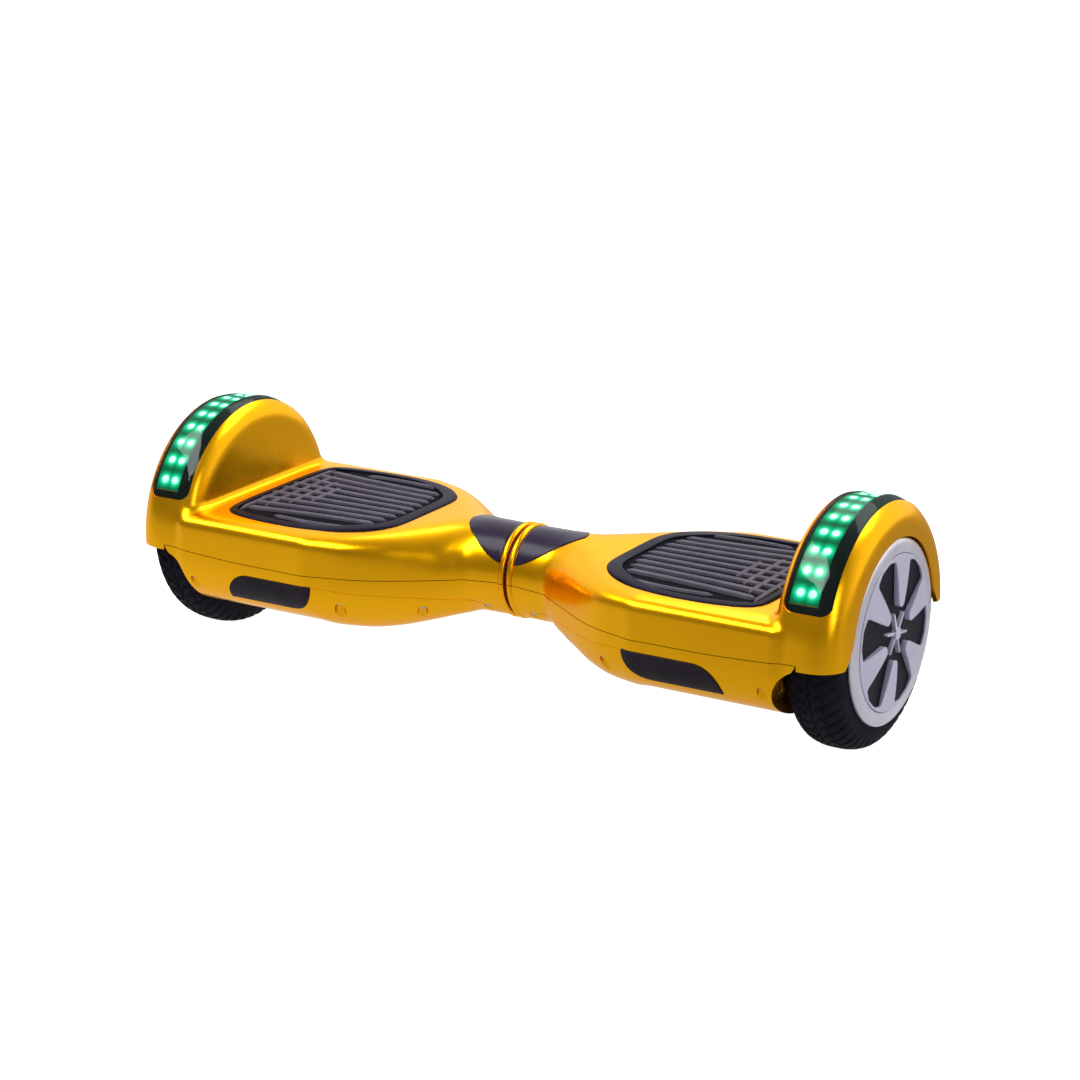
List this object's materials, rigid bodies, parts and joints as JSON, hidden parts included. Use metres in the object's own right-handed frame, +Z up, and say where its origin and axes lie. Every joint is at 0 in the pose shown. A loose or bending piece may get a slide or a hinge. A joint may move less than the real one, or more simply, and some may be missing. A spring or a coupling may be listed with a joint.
{
  "type": "self-balancing hoverboard",
  "caption": "Two-wheeled self-balancing board with a hinged waist, arched lit fenders, ribbed rubber foot pads and hub-motor wheels with petal-shaped covers.",
  "frame": {"origin": "on the ground, midway between the wheels and between front and back", "axes": "+X along the wheel axle to the half with the battery and power button, -Y towards the front, +Z up"},
  "size_m": [0.584, 0.192, 0.1776],
  "materials": {
    "gold_shell": "gloss",
    "pad_rubber": "matte",
    "tyre_rubber": "matte",
    "dark_trim": "gloss",
    "smoked_lens": "polished",
    "light_strip": "satin",
    "wheel_silver": "satin",
    "cast_aluminium": "satin",
    "steel": "satin",
    "circuit_board": "satin",
    "battery_wrap": "satin",
    "winding_copper": "satin",
    "bronze": "satin",
    "cable_black": "satin",
    "black_plastic": "satin"
  },
  "bodies": {
    "left_half": {"left_upper_shell": "gold_shell", "left_lower_shell": "gold_shell", "left_neck_cap": "dark_trim", "left_light_lens": "smoked_lens", "left_light_strip": "light_strip", "left_bumper_front": "dark_trim", "left_bumper_rear": "dark_trim", "left_frame": "cast_aluminium", "left_sensor_board": "circuit_board", "left_axle_clamp": "cast_aluminium", "left_clamp_screw_front": "steel", "left_clamp_screw_rear": "steel", "left_axle": "steel", "left_stator": "winding_copper", "twist_shaft": "steel", "shaft_clip": "steel", "centre_ring": "black_plastic", "main_board": "circuit_board", "centre_cable": "cable_black"},
    "right_half": {"right_upper_shell": "gold_shell", "right_lower_shell": "gold_shell", "right_neck_cap": "dark_trim", "right_light_lens": "smoked_lens", "right_light_strip": "light_strip", "right_bumper_front": "dark_trim", "right_bumper_rear": "dark_trim", "right_frame": "cast_aluminium", "right_sensor_board": "circuit_board", "right_axle_clamp": "cast_aluminium", "right_clamp_screw_front": "steel", "right_clamp_screw_rear": "steel", "right_axle": "steel", "right_stator": "winding_copper", "twist_bush": "bronze", "battery_pack": "battery_wrap", "power_switch": "black_plastic", "charge_socket": "black_plastic"},
    "left_wheel": {"left_tyre": "tyre_rubber", "left_rim": "wheel_silver", "left_magnet_ring": "steel", "left_motor_cover": "cast_aluminium", "left_bearing_inner": "steel", "left_bearing_outer": "steel", "left_hub_insert": "black_plastic", "left_hub_cover": "wheel_silver", "left_hub_star": "wheel_silver"},
    "right_wheel": {"right_tyre": "tyre_rubber", "right_rim": "wheel_silver", "right_magnet_ring": "steel", "right_motor_cover": "cast_aluminium", "right_bearing_inner": "steel", "right_bearing_outer": "steel", "right_hub_insert": "black_plastic", "right_hub_cover": "wheel_silver", "right_hub_star": "wheel_silver"},
    "left_pad": {"left_footpad": "pad_rubber"},
    "right_pad": {"right_footpad": "pad_rubber"},
    "button": {"power_button": "black_plastic"},
    "port_cap": {"charge_port_cap": "pad_rubber"}
  },
  "joints": [
    {"name": "centre_twist", "type": "hinge", "parent": "left_half", "child": "right_half", "pos_m": [0, 0, 0.081], "axis": [1, 0, 0], "range_deg": [-12, 12]},
    {"name": "left_wheel_spin", "type": "hinge", "parent": "left_half", "child": "left_wheel", "pos_m": [-0.2635, 0, 0.084], "axis": [1, 0, 0], "continuous": true},
    {"name": "right_wheel_spin", "type": "hinge", "parent": "right_half", "child": "right_wheel", "pos_m": [0.2635, 0, 0.084], "axis": [1, 0, 0], "continuous": true},
    {"name": "left_footpad_press", "type": "slide", "parent": "left_half", "child": "left_pad", "axis": [0, 0, -1], "range_m": [0, 0.0015], "stiffness_N_per_m": 4000, "springref_m": -0.0008},
    {"name": "right_footpad_press", "type": "slide", "parent": "right_half", "child": "right_pad", "axis": [0, 0, -1], "range_m": [0, 0.0015], "stiffness_N_per_m": 4000, "springref_m": -0.0008},
    {"name": "power_button_press", "type": "slide", "parent": "right_half", "child": "button", "axis": [0, 0, 1], "range_m": [0, 0.0012], "stiffness_N_per_m": 900, "springref_m": -0.0008},
    {"name": "charge_cap_open", "type": "hinge", "parent": "right_half", "child": "port_cap", "pos_m": [0.202, -0.018, 0.0289], "axis": [0, 1, 0], "range_deg": [0, 100], "stiffness_Nm_per_rad": 0.002, "springref_deg": -28.65}
  ]
}
